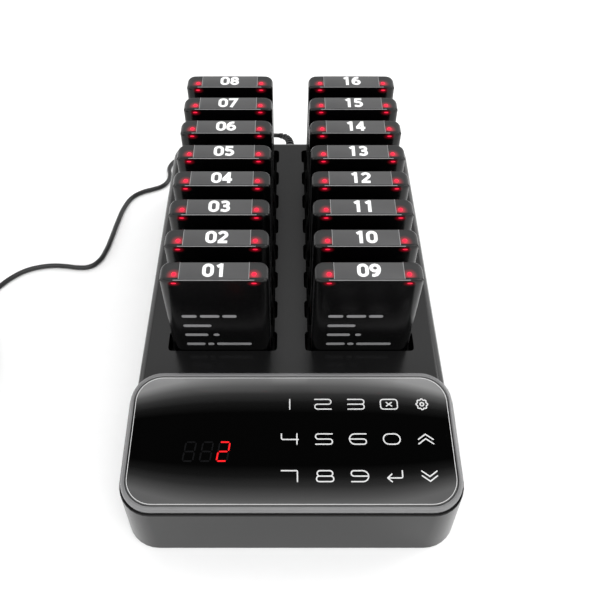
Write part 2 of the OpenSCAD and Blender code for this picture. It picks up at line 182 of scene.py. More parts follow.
def glow(material, centre, reach, color, strength):
    """Light that a lamp behind the surface sheds into it, mirrored about x = 0. The reach is
    how far it carries along x, y and z."""
    tree, shader = parts_of(material)
    shader.inputs["Emission Color"].default_value = (*color, 1)
    coords = add_node(tree, "TexCoord")
    fold = add_node(tree, "VectorMath", operation="ABSOLUTE")
    away = add_node(tree, "VectorMath", {1: centre}, "SUBTRACT")
    scaled = add_node(tree, "VectorMath", {1: reach}, "DIVIDE")
    length = add_node(tree, "VectorMath", operation="LENGTH")
    fade = add_node(tree, "MapRange", {"To Min": 1, "To Max": 0})
    shaped = add_node(tree, "Math", {1: 2.2}, "POWER")
    power = add_node(tree, "Math", {1: strength}, "MULTIPLY")
    wire(tree, (coords, "Object", fold, 0), (fold, away), (away, scaled), (scaled, length),
         (length, "Value", fade, 0), (fade, shaped), (shaped, power),
         (power, 0, shader, "Emission Strength"))


def lamp(name, color, strength):
    """A lit window: bright, with a slow unevenness across it."""
    material = finish(name, tuple(0.4 * c for c in color), 0.5, grain=0.05, spread=0.05)
    tree, shader = parts_of(material)
    set_inputs(shader, {"Specular IOR Level": 0.2, "Emission Color": (*color, 1)})
    patchy = add_node(tree, "TexNoise", {"Scale": 700})
    level = add_node(tree, "MapRange", {"To Min": 0.85 * strength, "To Max": 1.15 * strength})
    wire(tree, (patchy, level), (level, 0, shader, "Emission Strength"))
    return material


def paint_glass_reflection(material, middle, half):
    """Paints a reflection into the colour: greys it towards the front and back edges of a panel whose
    middle is at y = middle and whose edges are half away from it, in place of reflected light. The
    fades widen towards the panel's ends."""
    tree, shader = parts_of(material)
    coords, split = add_node(tree, "TexCoord"), add_node(tree, "SeparateXYZ")
    place = add_node(tree, "MapRange", {"From Min": middle - half, "From Max": middle + half,
                                        "To Min": -1})
    end = add_node(tree, "Math", {1: GLASS_W / 2}, "DIVIDE")
    bend = add_node(tree, "Math", {1: 4}, "POWER")
    widen = add_node(tree, "Math", {1: 0.4, 2: 1}, "MULTIPLY_ADD")
    spread = add_node(tree, "Math", operation="MULTIPLY")
    back_to_share = add_node(tree, "MapRange", {"From Min": -1})
    ramp = grey_ramp(tree, GLASS_PAINTED_REFLECTION)
    wire(tree, (coords, "Object", split, 0), (split, "Y", place, 0), (split, "X", end, 0),
         (end, bend), (bend, widen), (place, spread), (widen, 0, spread, 1),
         (spread, back_to_share), (back_to_share, ramp), (ramp, 0, shader, "Base Color"))


def board_finish():
    """Green solder mask with copper tracks that shine faintly through it."""
    mask = (0.012, 0.09, 0.035)
    material = finish("circuit_board", mask, 0.35)
    tree, shader = parts_of(material)
    coords = add_node(tree, "TexCoord")
    tracks = add_node(tree, "TexBrick", {
        "Scale": 180, "Mortar Size": 0.035, "Color1": (*mask, 1), "Color2": (0.01, 0.075, 0.03, 1),
        "Mortar": (0.05, 0.2, 0.06, 1)})
    wire(tree, (coords, "Object", tracks, "Vector"), (tracks, "Color", shader, "Base Color"))
    return material


# Painted reflection: grey of the panel's colour from its front edge (0) to its back edge (1), standing
# in for light reflected near those edges
GLASS_PAINTED_REFLECTION = [(0.0, 0.085), (0.07, 0.048), (0.14, 0.018), (0.21, 0.005), (0.29, 0.0005),
              (0.7, 0.0005), (0.78, 0.006), (0.85, 0.025), (0.92, 0.08), (1.0, 0.21)]
RED = (1.0, 0.012, 0.05)
# The numbers after a colour are roughness, grain and the size of the grains in millimetres
housing_black = finish("housing", (0.0028, 0.0028, 0.003), 0.22, 0.22, 0.3, ior=1.38)
well_black = finish("bottom_cover", (0.01, 0.01, 0.0105), 0.5, 0.4, 0.3)
bezel_grey = finish("bezel", (0.16, 0.16, 0.162), 0.26, 0.12, 0.25)
glass_black = finish("touch_glass", (0.002, 0.002, 0.0022), 0.03, 0.01, 2, 0.4, shine=0.35)
# Painted reflection: the glass greys towards its front and back edges
paint_glass_reflection(glass_black, -PANEL_L / 2, GLASS_L / 2)
pager_gloss = finish("pager_front", (0.0006, 0.0006, 0.0007), 0.2, 0.015, 1.5, 0.2, shine=0.3)
glow(pager_gloss, (LENS_X, 0, PAGER_H - WINDOW_DOWN - 0.2 * MM), (4.4 * MM, 3 * MM, 2.6 * MM),
     RED, 0.45)
pager_shell_black = finish("pager_shell", (0.009, 0.009, 0.0094), 0.24, 0.15, 0.25, ior=1.42)
glow(pager_shell_black, (LENS_X, LENS_Y - 0.7 * MM, PAGER_H), (5 * MM, 5 * MM, 4 * MM), RED, 1.1)
# Painted shade: a deeper black for the faces inside the wells and pockets
painted_well_shade = finish("well", (0.002, 0.002, 0.002), 0.6, 0.4, ior=1.2)
sticker_grey = finish("label", (0.066, 0.066, 0.067), 0.45, grain_size=0.5, shine=0.25)
print_white = finish("white_print", (0.85, 0.85, 0.85), 0.45, spread=0.03)
# Pale print of the key symbols; the same grey also draws the painted highlight inside the glass's edge
key_print_and_highlight = finish("key_print_and_highlight", (0.6, 0.6, 0.6), 0.45, spread=0.03)
print_grey = finish("grey_print", (0.2, 0.2, 0.205), 0.45, spread=0.05)
# Pale grey of the pagers' painted highlights on the label ends and the top's front edge
painted_highlight_grey = finish("painted_highlight", (0.3, 0.3, 0.303), 0.4)
lens_red = lamp("lamp", RED, 1.0)
segment_lit = lamp("segment_lit", (1.0, 0.006, 0.01), 0.8)
segment_dark = finish("segment_dark", (0.005, 0.005, 0.0055), 0.1, 0.02)
rubber = finish("rubber", (0.01, 0.01, 0.01), 0.75, 0.5, 0.4)
cord_black = finish("cord", (0.005, 0.005, 0.0055), 0.32, 0.2, 0.6)
adapter_black = finish("adapter", (0.01, 0.01, 0.0105), 0.36, 0.35, 0.3)
tie_black = finish("tie", (0.02, 0.02, 0.02), 0.6, 0.6, 0.5)
prong_metal = finish("prong_metal", (0.72, 0.7, 0.66), 0.22, metallic=1)
steel = finish("steel", (0.5, 0.5, 0.51), 0.28, 0.12, metallic=1)
gold = finish("gold", (0.83, 0.6, 0.22), 0.2, 0.08, metallic=1)
copper = finish("copper", (0.72, 0.4, 0.2), 0.3, 0.15, metallic=1)
battery_foil = finish("battery", (0.55, 0.56, 0.58), 0.32, 0.3, 2, metallic=0.6)
wire_red = finish("wire", (0.45, 0.03, 0.02), 0.45, 0.3, 0.8)
part_black = finish("black_part", (0.008, 0.008, 0.009), 0.35, 0.2)
green_board = board_finish()


# ---------- mesh making ----------

def arc(cx, cy, r, start, end, steps=8):
    """Points round an arc, its angles in degrees."""
    angles = [math.radians(start + (end - start) * k / steps) for k in range(steps + 1)]
    return [(cx + r * math.cos(a), cy + r * math.sin(a)) for a in angles]


def outline(w, l, r, steps=8, runs=0):
    """Points of a rectangle with rounded corners, anticlockwise, centred on the origin, with
    runs extra points along each side that lies along x."""
    r = max(r, 0.02 * MM)
    points = []
    for corner, (side_x, side_y) in enumerate(((1, 1), (-1, 1), (-1, -1), (1, -1))):
        points += arc(side_x * (w / 2 - r), side_y * (l / 2 - r), r, 90 * corner,
                      90 * corner + 90, steps)
        if runs and corner in (0, 2):
            x, y = points[-1]
            points += [(x * (1 - 2 * k / (runs + 1)), y) for k in range(1, runs + 1)]
    return points


def mix(a, b, share):
    """The value a share of the way from a to b."""
    return a + (b - a) * share


def rounding(radius, steps=6):
    """Pairs (inset, fall) round a quarter circle, from the side up to the top."""
    if not radius:
        return [(0, 0)]
    quarter = [math.radians(90 * k / steps) for k in range(steps + 1)]
    return [(radius * (1 - math.cos(a)), radius * (1 - math.sin(a))) for a in quarter]


def slab_rings(w, l, r, z0, z1, bottom=0.0, top=0.0, steps=8, centre=(0, 0)):
    """Rings of a plate with rounded corners, its lower and upper edges rounded too."""
    levels = [(inset, z0 + fall) for inset, fall in reversed(rounding(bottom))]
    levels += [(inset, z1 - fall) for inset, fall in rounding(top)]
    return [[(x + centre[0], y + centre[1], z)
             for x, y in outline(w - 2 * inset, l - 2 * inset, r - inset, steps)]
            for inset, z in levels]


def loft(bm, rings, wrap=False):
    """Faces from each ring to the next, with flat ends, or round to the first ring again."""
    made = [[bm.verts.new(p) for p in ring] for ring in rings]
    count = len(made[0])
    for low, high in zip(made, made[1:] + ([made[0]] if wrap else [])):
        for k in range(count):
            j = (k + 1) % count
            bm.faces.new((low[k], low[j], high[j], high[k]))
    if not wrap:
        bm.faces.new(list(reversed(made[0])))
        bm.faces.new(made[-1])


def lofted(*solids):
    """A new mesh with a loft of each list of rings."""
    bm = bmesh.new()
    for rings in solids:
        loft(bm, rings)
    return bm


def in_mm(points):
    """Points given in millimetres, in metres."""
    return [tuple(c * MM for c in p) for p in points]


def turned(bm, profile, place=None, sides=40):
    """A solid turned about z from (radius, height) pairs; a radius of 0 closes an end."""
    place = place or Matrix.Identity(4)
    rings = []
    for radius, height in profile:
        if radius == 0:
            rings.append([bm.verts.new(place @ Vector((0, 0, height)))])
            continue
        angles = [2 * math.pi * k / sides for k in range(sides)]
        rings.append([bm.verts.new(place @ Vector((radius * math.cos(a), radius * math.sin(a),
                                                   height)))
                      for a in angles])
    for low, high in zip(rings, rings[1:]):
        for k in range(sides):
            j = (k + 1) % sides
            face = [low[k % len(low)], low[j % len(low)], high[j % len(high)], high[k % len(high)]]
            bm.faces.new(list(dict.fromkeys(face)))
    for ring in (rings[0][::-1], rings[-1]):
        if len(ring) > 1:
            bm.faces.new(ring)


def ribbon(bm, points, width, top, thick, closed=False, round_ends=True):
    """A flat printed stroke along 2-D points, with round or square ends where it is open."""
    points = [Vector(p) for p in points]
    count = len(points)
    left, right = [], []
    for i, p in enumerate(points):
        before = points[i - 1] if closed or i else None
        after = points[(i + 1) % count] if closed or i < count - 1 else None
        sides = [Vector((-(b - a).y, (b - a).x)).normalized()
                 for a, b in ((before, p), (p, after)) if a is not None and b is not None]
        across = sum(sides, Vector((0, 0))) / len(sides)
        across *= width / 2 / max(across.length_squared, 0.3)
        left.append(p + across)
        right.append(p - across)
    caps = []
    round_ends = round_ends and not closed
    if round_ends:
        for end, other in ((0, left), (-1, right)):
            centre, edge = points[end], other[end] - points[end]
            caps.append([centre + Matrix.Rotation(math.radians(a), 2) @ edge
                         for a in (30, 60, 90, 120, 150)])
    up = {}

    def vert(p):
        key = (round(p.x, 8), round(p.y, 8))
        if key not in up:
            up[key] = bm.verts.new((p.x, p.y, top))
        return up[key]

    faces = []
    for i in range(count if closed else count - 1):
        j = (i + 1) % count
        faces.append(bm.faces.new([vert(left[i]), vert(right[i]), vert(right[j]), vert(left[j])]))
    if round_ends:
        faces.append(bm.faces.new([vert(p) for p in [left[0], *caps[0], right[0]]]))
        faces.append(bm.faces.new([vert(p) for p in [right[-1], *caps[1], left[-1]]]))
    lowered = bmesh.ops.extrude_face_region(bm, geom=faces)["geom"]
    bmesh.ops.translate(bm, vec=(0, 0, -thick),
                        verts=[g for g in lowered if isinstance(g, bmesh.types.BMVert)])


def made_mesh(name, bm, material, angle=35):
    """The finished mesh: outward faces, smooth but for edges sharper than angle degrees."""
    bmesh.ops.recalc_face_normals(bm, faces=bm.faces)
    mesh = bpy.data.meshes.new(name)
    bm.to_mesh(mesh)
    bm.free()
    mesh.materials.append(material)
    soften(mesh, angle)
    return mesh


def soften(mesh, angle=35):
    mesh.polygons.foreach_set("use_smooth", [True] * len(mesh.polygons))
    mesh.set_sharp_from_angle(angle=math.radians(angle))


def linked(name, data, place=None):
    obj = bpy.data.objects.new(name, data)
    bpy.context.scene.collection.objects.link(obj)
    if place is not None:
        obj.matrix_world = place
    return obj


def show(name, mesh, body="base", place=None, stands_for=(), slot=None):
    """Puts a finished mesh in the scene as a piece that rides on a body."""
    obj = linked(name, mesh, place)
    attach(obj, body)
    if stands_for:
        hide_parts(*stands_for)
    return obj


def combine(target, bm, operation):
    """Cuts the mesh in bm out of target, or joins it on."""
    bmesh.ops.recalc_face_normals(bm, faces=bm.faces)
    mesh = bpy.data.meshes.new("tool")
    bm.to_mesh(mesh)
    bm.free()
    tool = linked("tool", mesh)
    modifier = target.modifiers.new("combine", "BOOLEAN")
    modifier.operation = operation
    modifier.solver = "EXACT"
    modifier.object = tool
    settle(target)
    bpy.data.objects.remove(tool)


def settle(obj):
    """Applies the object's modifiers to its mesh."""
    graph = bpy.context.evaluated_depsgraph_get()
    mesh = bpy.data.meshes.new_from_object(obj.evaluated_get(graph))
    obj.modifiers.clear()
    obj.data = mesh


def bevel(obj, width):
    """Rounds every edge sharper than 40 degrees."""
    modifier = obj.modifiers.new("edges", "BEVEL")
    modifier.width = width
    modifier.segments = 2
    modifier.limit_method = "ANGLE"
    modifier.angle_limit = math.radians(40)
    modifier.harden_normals = False


def box(bm, low, high):
    rings = [[(low[0], low[1], z), (high[0], low[1], z), (high[0], high[1], z),
              (low[0], high[1], z)] for z in (low[2], high[2])]
    loft(bm, rings)


# ---------- lead: route, coil, plug, adapter ----------

# The stretch that isn't coiled, in millimetres: down from the strain relief, and on the floor
ROUTE_DOWN = [(-8.4, 182.4, 27), (-14, 184, 25.8), (-24, 185, 22.4), (-34, 185.6, 17.4),
              (-44, 186.2, 11.6), (-54, 187, 6.4), (-64, 187.8, 3), (-74, 188, 1.9)]
ROUTE_FLAT = [(-84, 187), (-93, 183.6), (-99.6, 177.6), (-102, 170), (-100.8, 162.4), (-101.4, 155),
              (-105.6, 148.8), (-112.6, 145.2), (-121, 141.8), (-128.4, 135.6), (-133.4, 124),
              (-136.4, 108), (-138.6, 91), (-141, 77), (-144.6, 67), (-150.6, 61.4), (-159, 60.6),
              (-168, 61.8), (-178, 62.4), (-188, 61), (-197.4, 57.6), (-206, 51.2), (-213, 43),
              (-218.6, 34), (-222.4, 26)]
FLOOR_Z = 1.8
# The strain relief's bent line and its radii
BOOT = [(0, 166, 28), (0, 170, 28), (-0.5, 174, 28), (-2, 177.6, 27.8), (-4.8, 180.6, 27.5),
        (-8.4, 182.4, 27)]
BOOT_RADII = [3.7, 3.4, 3.1, 2.8, 2.5, 2.2]
COIL_TURNS, COIL_STEPS = 6, 16
TIE_T = 0.5 * MM
coil_low, coil_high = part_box("cord_coil")
coil_x, coil_y = (coil_low.x + coil_high.x) / 2, (coil_low.y + coil_high.y) / 2
COIL_R = coil_high.x - coil_x - CORD_D / 2
COIL_Z = CORD_D / 2 + TIE_T


def coil_points():
    """Turns wound inward on the surface, up over a quarter turn, and outward on top."""
    points = []
    inward = COIL_TURNS / 2
    inmost = inward + 0.25
    for step in range(1, COIL_TURNS * COIL_STEPS + 1):
        turn = step / COIL_STEPS
        climb = min(1, max(0, (turn - inward) * 4))
        climb = climb * climb * (3 - 2 * climb)
        drawn_in = turn if turn <= inmost else inmost * (COIL_TURNS - turn) / (COIL_TURNS - inmost)
        radius = COIL_R - drawn_in * CORD_D
        angle = -2 * math.pi * turn
        points.append((coil_x + radius * math.cos(angle), coil_y + radius * math.sin(angle),
                       COIL_Z + CORD_D * climb))
    return points


def smooth_curve(name, points, radius, material):
    """A round cord whose centre line runs smoothly through the points."""
    curve = bpy.data.curves.new(name, "CURVE")
    curve.dimensions = "3D"
    curve.bevel_depth = radius
    curve.bevel_resolution = 5
    curve.resolution_u = 6
    curve.use_fill_caps = True
    spline = curve.splines.new("BEZIER")
    spline.bezier_points.add(len(points) - 1)
    for knot, point in zip(spline.bezier_points, points):
        knot.co = point
        knot.handle_left_type = knot.handle_right_type = "AUTO"
    curve.materials.append(material)
    return linked(name, curve)


adapter_low, adapter_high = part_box("wall_adapter")
ADAPTER_W, ADAPTER_L, ADAPTER_R, ADAPTER_SEAM = 42 * MM, 62 * MM, 6 * MM, 14.5 * MM
ADAPTER_BACK, BOOT_TIP_Y = coil_y - 28 * MM, adapter_high.y
LEAD_INSIDE, LEAD_Z = 33 * MM, CORD_D * 1.5
lead_points = in_mm(ROUTE_DOWN + [(x, y, FLOOR_Z) for x, y in ROUTE_FLAT])
lead_points += [(coil_x + COIL_R, coil_y, COIL_Z)] + coil_points()
lead_points += [(coil_x + COIL_R, (coil_y + BOOT_TIP_Y) / 2, LEAD_Z + TIE_T / 2),
                (coil_x + COIL_R, BOOT_TIP_Y, LEAD_Z),
                (coil_x + COIL_R, BOOT_TIP_Y - LEAD_INSIDE, LEAD_Z)]
lead = smooth_curve("power_lead", lead_points, CORD_D / 2, cord_black)
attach(lead, "base")
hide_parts("power_cord", "cord_coil")


def swept(bm, points, radii, sides=20):
    """A round tube of changing radius along points."""
    rings = []
    for i, p in enumerate(points):
        ahead = (points[min(i + 1, len(points) - 1)] - points[max(i - 1, 0)]).normalized()
        across = ahead.cross(Vector((0, 0, 1))).normalized()
        over = across.cross(ahead)
        rings.append([p + radii[i] * (across * math.cos(2 * math.pi * k / sides)
                                      + over * math.sin(2 * math.pi * k / sides))
                      for k in range(sides)])
    loft(bm, rings)


def along(points, radii, share):
    """Point and radius at a share of the way along a list of points."""
    place = share * (len(points) - 1)
    i = min(int(place), len(points) - 2)
    f = place - i
    before, after = points[max(i - 1, 0)], points[min(i + 2, len(points) - 1)]
    a, b = points[i], points[i + 1]
    point = 0.5 * (2 * a + (b - before) * f + (2 * before - 5 * a + 4 * b - after) * f * f
                   + (3 * a - before - 3 * b + after) * f ** 3)
    return point, mix(radii[i], radii[i + 1], f)


def ribbed_boot(bm, points, radii, ribs, groove):
    """A strain relief: ribs with narrow grooves between them, along a bent line."""
    marks = []
    for rib in range(ribs):
        for share, depth in ((0.0, groove), (0.14, 0), (0.52, 0), (0.66, groove)):
            marks.append(((rib + share) / ribs, depth))
    marks.append((1.0, 0))
    line, sizes = [], []
    for share, depth in marks:
        point, radius = along(points, radii, share)
        line.append(point)
        sizes.append(radius - depth)
    swept(bm, line, sizes)


def lead_plug():
    """Barrel plug pushed into the base, its grip, and the ribbed strain relief behind it."""
    bm = bmesh.new()
    grip_end = BOOT[0][1] * MM
    inside = BACK_Y - 12 * MM
    grip = [(2.75, inside), (2.75, BACK_Y - 1.9 * MM), (4.3, BACK_Y - 1.9 * MM),
            (4.7, BACK_Y - 1.5 * MM), (4.7, BACK_Y + 4 * MM)]
    for ridge in range(5):
        y = BACK_Y + (5.4 + 2.4 * ridge) * MM
        grip += [(4.35, y), (4.35, y + 0.9 * MM), (4.7, y + 1.3 * MM), (4.7, y + 2.1 * MM)]
    grip += [(4.7, grip_end - 1 * MM), (4.3, grip_end - 0.3 * MM), (3.4, grip_end)]
    turned(bm, [(r * MM, y) for r, y in grip], socket_place)
    ribbed_boot(bm, [Vector(p) * MM for p in BOOT], [r * MM for r in BOOT_RADII], 7, 1.1 * MM)
    return made_mesh("lead_plug", bm, part_black)


plug = show("lead_plug", lead_plug(), stands_for=["cord_plug"], slot="black_part")


def adapter_case():
    """Two-part case with a shallow seam, a ribbed grip on each side, and the lead's boot."""
    bm = bmesh.new()
    low = Vector((adapter_low.x, ADAPTER_BACK - ADAPTER_L, adapter_low.z))
    high = Vector((adapter_low.x + ADAPTER_W, ADAPTER_BACK, adapter_high.z))
    size = ADAPTER_W, ADAPTER_L, ADAPTER_R
    middle = ((low.x + high.x) / 2, (low.y + high.y) / 2)
    seam, gap = low.z + ADAPTER_SEAM, 0.35 * MM
    rings = slab_rings(*size, low.z, seam, bottom=2.2 * MM, centre=middle)
    for inset, z in ((gap, seam + 0.1 * MM), (gap, seam + 0.5 * MM), (0, seam + 0.6 * MM)):
        rings.append([(x + middle[0], y + middle[1], z) for x, y in
                      outline(ADAPTER_W - 2 * inset, ADAPTER_L - 2 * inset, ADAPTER_R - inset)])
    rings += slab_rings(*size, seam + 0.7 * MM, high.z, top=2.2 * MM, centre=middle)
    loft(bm, rings)
    for side in (low.x, high.x):
        for k in range(6):
            y = high.y - (10 + 3 * k) * MM
            box(bm, (side - 0.45 * MM, y, low.z + 6 * MM),
                (side + 0.45 * MM, y + 1.2 * MM, high.z - 6 * MM))
    profile = [(4.2 * MM, high.y - 0.5 * MM)]
    ribs = 6
    step = (BOOT_TIP_Y - high.y) / ribs
    for k in range(ribs):
        y = high.y + step * (k + 0.3)
        big = (4.2 - 1.7 * (k + 0.3) / ribs) * MM
        profile += [(big, y), (big - 0.55 * MM, y + 0.1 * step),
                    (big - 0.6 * MM, y + 0.35 * step), (big - 0.15 * MM, y + 0.45 * step)]
    profile += [(2.3 * MM, BOOT_TIP_Y - 0.4 * MM), (2.0 * MM, BOOT_TIP_Y)]
    turned(bm, profile, Matrix.Translation((coil_x + COIL_R, 0, LEAD_Z)) @ backward)
    return made_mesh("adapter_case", bm, adapter_black)


adapter = show("adapter_case", adapter_case(), stands_for=["wall_adapter"], slot="adapter")


def coil_tie():
    """A flat strap round the coil's turns, on the side away from the adapter."""
    bm = bmesh.new()
    width, strap = 9 * MM, TIE_T
    inner_w, inner_h = 4 * CORD_D, 2 * CORD_D
    centre = Vector((coil_x - (COIL_R - 1.5 * CORD_D), coil_y, TIE_T + CORD_D))
    rings = []
    for out, side in ((0, -1), (strap, -1), (strap, 1), (0, 1)):
        ring = outline(inner_w + 2 * out, inner_h + 2 * out, CORD_D / 2 + out, 6)
        rings.append([(centre.x + a, centre.y + side * width / 2, centre.z + b)
                      for a, b in ring])
    loft(bm, rings, wrap=True)
    return made_mesh("coil_tie", bm, tie_black)


tie = show("coil_tie", coil_tie())


# ---------- base ----------

def rim_height(y):
    """Height of the level rim that the keypad's bezel sits on, at a place along the base."""
    return PANEL_Z + (y - PANEL_Y) * math.tan(PANEL_TILT) + RIM_Z / math.cos(PANEL_TILT)


def head_ring(side, front, z, back=None):
    """The head's outline with its sides and its front drawn in by so much."""
    back = side if back is None else back
    shape = outline(HEAD_W - 2 * side, HEAD_L - front - back, HEAD_R - side)
    return [(x, y + HEAD_Y + (front - back) / 2, z) for x, y in shape]


def head_rings(inset, low, roof=None):
    """Rings of the keypad head, from low up to its sloping rim, or straight to a flat roof."""
    if roof is not None:
        return [head_ring(inset, inset + LEDGE, z, back=inset) for z in (low, roof)]
    rings = [head_ring(0.4 * MM - DRAFT, 0.4 * MM - DRAFT, low),
             head_ring(-DRAFT, -DRAFT, low + 0.4 * MM)]
    for inward, fall in rounding(0.5 * MM):
        ring = head_ring(inward, LEAN + inward, 0, back=inward)
        rings.append([(x, y, rim_height(y) - fall) for x, y, z in ring])
    return rings


def rear_rings():
    """Rings of the deck block: a little wider towards the front and towards the foot."""
    straight = slab_rings(REAR_W, REAR_L, REAR_R, SKIRT_Z, DECK_Z, bottom=0.4 * MM,
                          top=DECK_EDGE, centre=(0, REAR_Y))
    rings = []
    for ring in straight:
        spread = DRAFT * (DECK_Z - ring[0][2]) / DECK_Z
        rings.append([(x * (1 + REAR_FLARE * (BACK_Y - y) / REAR_L + 2 * spread / REAR_W),
                       REAR_Y + (y - REAR_Y) * (1 + 2 * spread / REAR_L), z)
                      for x, y, z in ring])
    return rings


def castellated():
    """The well's outline: a step outward at each pager, rounded at its corners."""
    half, notch, r = WELL_W / 2, NOTCH_W / 2, 2.4 * MM
    right = []
    for row in range(ROWS):
        y0 = row * PITCH - POCKET_GAP
        y1 = y0 + POCKET_T
        if row:
            right += [(half, y0)]
        right += arc(notch - r, y0 + r, r, -90, 0, 4) + arc(notch - r, y1 - r, r, 0, 90, 4)
        if row < ROWS - 1:
            right += [(half, y1)]
    return right + [(-x, y) for x, y in reversed(right)]


def pager_places():
    """Each pager's frame: front face at y = 0 and lower edge at z = 0."""
    for i in range(2 * ROWS):
        yield Matrix.Translation((COLUMNS[i // ROWS], PAGER_Y + (i % ROWS) * PITCH, POCKET_Z))


def charging_base():
    """The housing: head and deck, the wells and pockets, the cavity below and the socket hole."""
    shell = linked("shell", made_mesh("charging_base", lofted(rear_rings()), housing_black))
    combine(shell, lofted(head_rings(0, SKIRT_Z)), "UNION")
    rear_space = slab_rings(REAR_W - 2 * WALL, REAR_L - 2 * WALL, REAR_R - WALL, -1 * MM,
                            DECK_Z - DECK_T, centre=(0, REAR_Y))
    combine(shell, lofted(rear_space), "DIFFERENCE")
    combine(shell, lofted(head_rings(WALL, -1 * MM, roof=DECK_Z + 8 * MM)), "DIFFERENCE")
    tubs = bmesh.new()
    tub_wall = 1.6 * MM
    tub_x = POCKET_W / 2 + tub_wall
    for x in COLUMNS:
        box(tubs, (x - tub_x, PAGER_Y - POCKET_GAP - tub_wall, POCKET_Z - tub_wall),
            (x + tub_x, PAGER_Y - POCKET_GAP + COLUMN_L + tub_wall, DECK_Z - DECK_T / 2))
    combine(shell, tubs, "UNION")
    wells = [[[(x + a, PAGER_Y + b, z) for a, b in castellated()]
              for z in (WELL_Z, DECK_Z + 5 * MM)] for x in COLUMNS]
    combine(shell, lofted(*wells), "DIFFERENCE")
    pockets, holes, socket = bmesh.new(), bmesh.new(), bmesh.new()
    hole_r = 1.5 * MM
    for place in pager_places():
        at = place.translation
        box(pockets, (at.x - POCKET_W / 2, at.y - POCKET_GAP, POCKET_Z),
            (at.x + POCKET_W / 2, at.y + PAGER_T + POCKET_GAP, WELL_Z + 2 * MM))
        for side in (-1, 1):
            spot = place @ Matrix.Translation((side * CONTACT_X, CONTACT_Y, 0))
            turned(holes, [(hole_r, -3 * MM), (hole_r, 1 * MM)], spot, 20)
    combine(shell, pockets, "DIFFERENCE")
    combine(shell, holes, "DIFFERENCE")
    turned(socket, [(SOCKET_R, BACK_Y - WALL - 1 * MM), (SOCKET_R, BACK_Y + 2 * MM)],
           socket_place)
    combine(shell, socket, "DIFFERENCE")
    soften(shell.data, 180)
    bevel(shell, 0.35 * MM)
    shell.modifiers.new("flat_faces", "WEIGHTED_NORMAL")
    settle(shell)
    mesh = shell.data
    bpy.data.objects.remove(shell)
    # Painted shade inside the wells and pockets
    paint_well_shade(mesh)
    return mesh


def paint_well_shade(mesh):
    """Paints shade into the faces inside the wells and pockets: a deeper black than the housing's,
    standing in for the shade in the recesses.
    """
    mesh.materials.append(painted_well_shade)
    for face in mesh.polygons:
        at = face.center
        across = min(abs(at.x - x) for x in COLUMNS)
        if (POCKET_Z - 0.2 * MM < at.z < DECK_Z - 0.5 * MM and across < NOTCH_W / 2 + 0.3 * MM
                and abs(at.y - PAGER_Y - COLUMN_L / 2) < COLUMN_L / 2 + 1 * MM):
            face.material_index = 1


show("charging_base", charging_base(), stands_for=["base_housing"], slot="housing")


def feet():
    """Rubber feet, dished underneath, with their edges rounded."""
    bm = bmesh.new()
    low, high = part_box("rubber_feet")
    profile = [(0, 0.5), (4.6, 0.45), (5.2, 0.1), (5.6, 0), (6.3, 0), (6.8, 0.2), (7, 0.6),
               (7, 2.9)]
    turned(bm, in_mm(profile) + [(0, high.z - low.z)], sides=48)
    foot = made_mesh("foot", bm, rubber)
    spots = [(x, y, 0) for x in (-FOOT_X, FOOT_X)
             for y in (FRONT_Y + 20 * MM, 0, BACK_Y - 22 * MM)]
    for k, spot in enumerate(spots):
        show(f"foot_{k + 1}", foot, place=Matrix.Translation(spot),
             stands_for=[] if k else ["rubber_feet"], slot="rubber")


feet()


# ---------- keypad: bezel, glass, symbols, display ----------

def panel_rings(w, l, r, levels):
    """Rings of a plate on the panel's middle: one for each (inset, height) of levels."""
    return [[(x, y - PANEL_L / 2, z) for x, y in outline(w - 2 * i, l - 2 * i, r - i, 12)]
            for i, z in levels]


def bezel_mesh():
    """The frame round the glass: a rounded rim outside, a small chamfer at the glass, and a lip
    that reaches down into the housing."""
    lip_z = RIM_Z - 3.6 * MM
    rings = panel_rings(BEZEL_W, PANEL_L, HEAD_R - 0.3 * MM,
                        [(0.8 * MM, RIM_Z), (0.8 * MM, BEZEL_Z), (0.25 * MM, BEZEL_Z),
                         (0, -2.6 * MM), *[(0.75 * i, -fall) for i, fall in rounding(2.3 * MM)]])
    rings += panel_rings(GLASS_W + 0.3 * MM, GLASS_L + 0.3 * MM, HEAD_R - BEZEL_RIM,
                         [(-0.35 * MM, 0), (-0.1 * MM, -0.1 * MM), (0, -0.35 * MM),
                          (0, GLASS_TOP - GLASS_T), (3 * MM, GLASS_TOP - GLASS_T), (3 * MM, lip_z)])
    rings += panel_rings(HEAD_W - 2 * WALL - 0.4 * MM, HEAD_L - 2 * WALL - 4.8 * MM,
                         HEAD_R - WALL - 1 * MM, [(0, lip_z), (0, RIM_Z)])
    bm = bmesh.new()
    loft(bm, rings, wrap=True)
    return made_mesh("bezel", bm, bezel_grey, 30)


def glass_mesh():
    rings = slab_rings(GLASS_W - 0.3 * MM, GLASS_L - 0.3 * MM, HEAD_R - BEZEL_RIM,
                       GLASS_TOP - GLASS_T, GLASS_TOP, top=0.6 * MM, steps=12,
                       centre=(0, -PANEL_L / 2))
    return made_mesh("glass", lofted(rings), glass_black, 60)


def glass_edge_highlight_mesh():
    """Painted highlight: a thin pale line just inside the glass's edge, standing in for the light the
    edge catches.
    """
    bm = bmesh.new()
    shape = outline(GLASS_W - 1.9 * MM, GLASS_L - 1.9 * MM, HEAD_R - BEZEL_RIM - 0.8 * MM, 12)
    spots = [(x, y - PANEL_L / 2) for x, y in shape]
    ribbon(bm, spots, 0.3 * MM, GLASS_TOP + 0.03 * MM, 0.04 * MM, closed=True)
    return made_mesh("glass_edge_highlight", bm, key_print_and_highlight)


show("keypad_bezel_ring", bezel_mesh(), place=panel_place, stands_for=["keypad_bezel"],
     slot="bezel")
show("keypad_glass", glass_mesh(), place=panel_place, stands_for=["touch_glass"],
     slot="touch_glass")
# A painted highlight along the glass's edge
show("glass_edge_highlight", glass_edge_highlight_mesh(), place=panel_place)

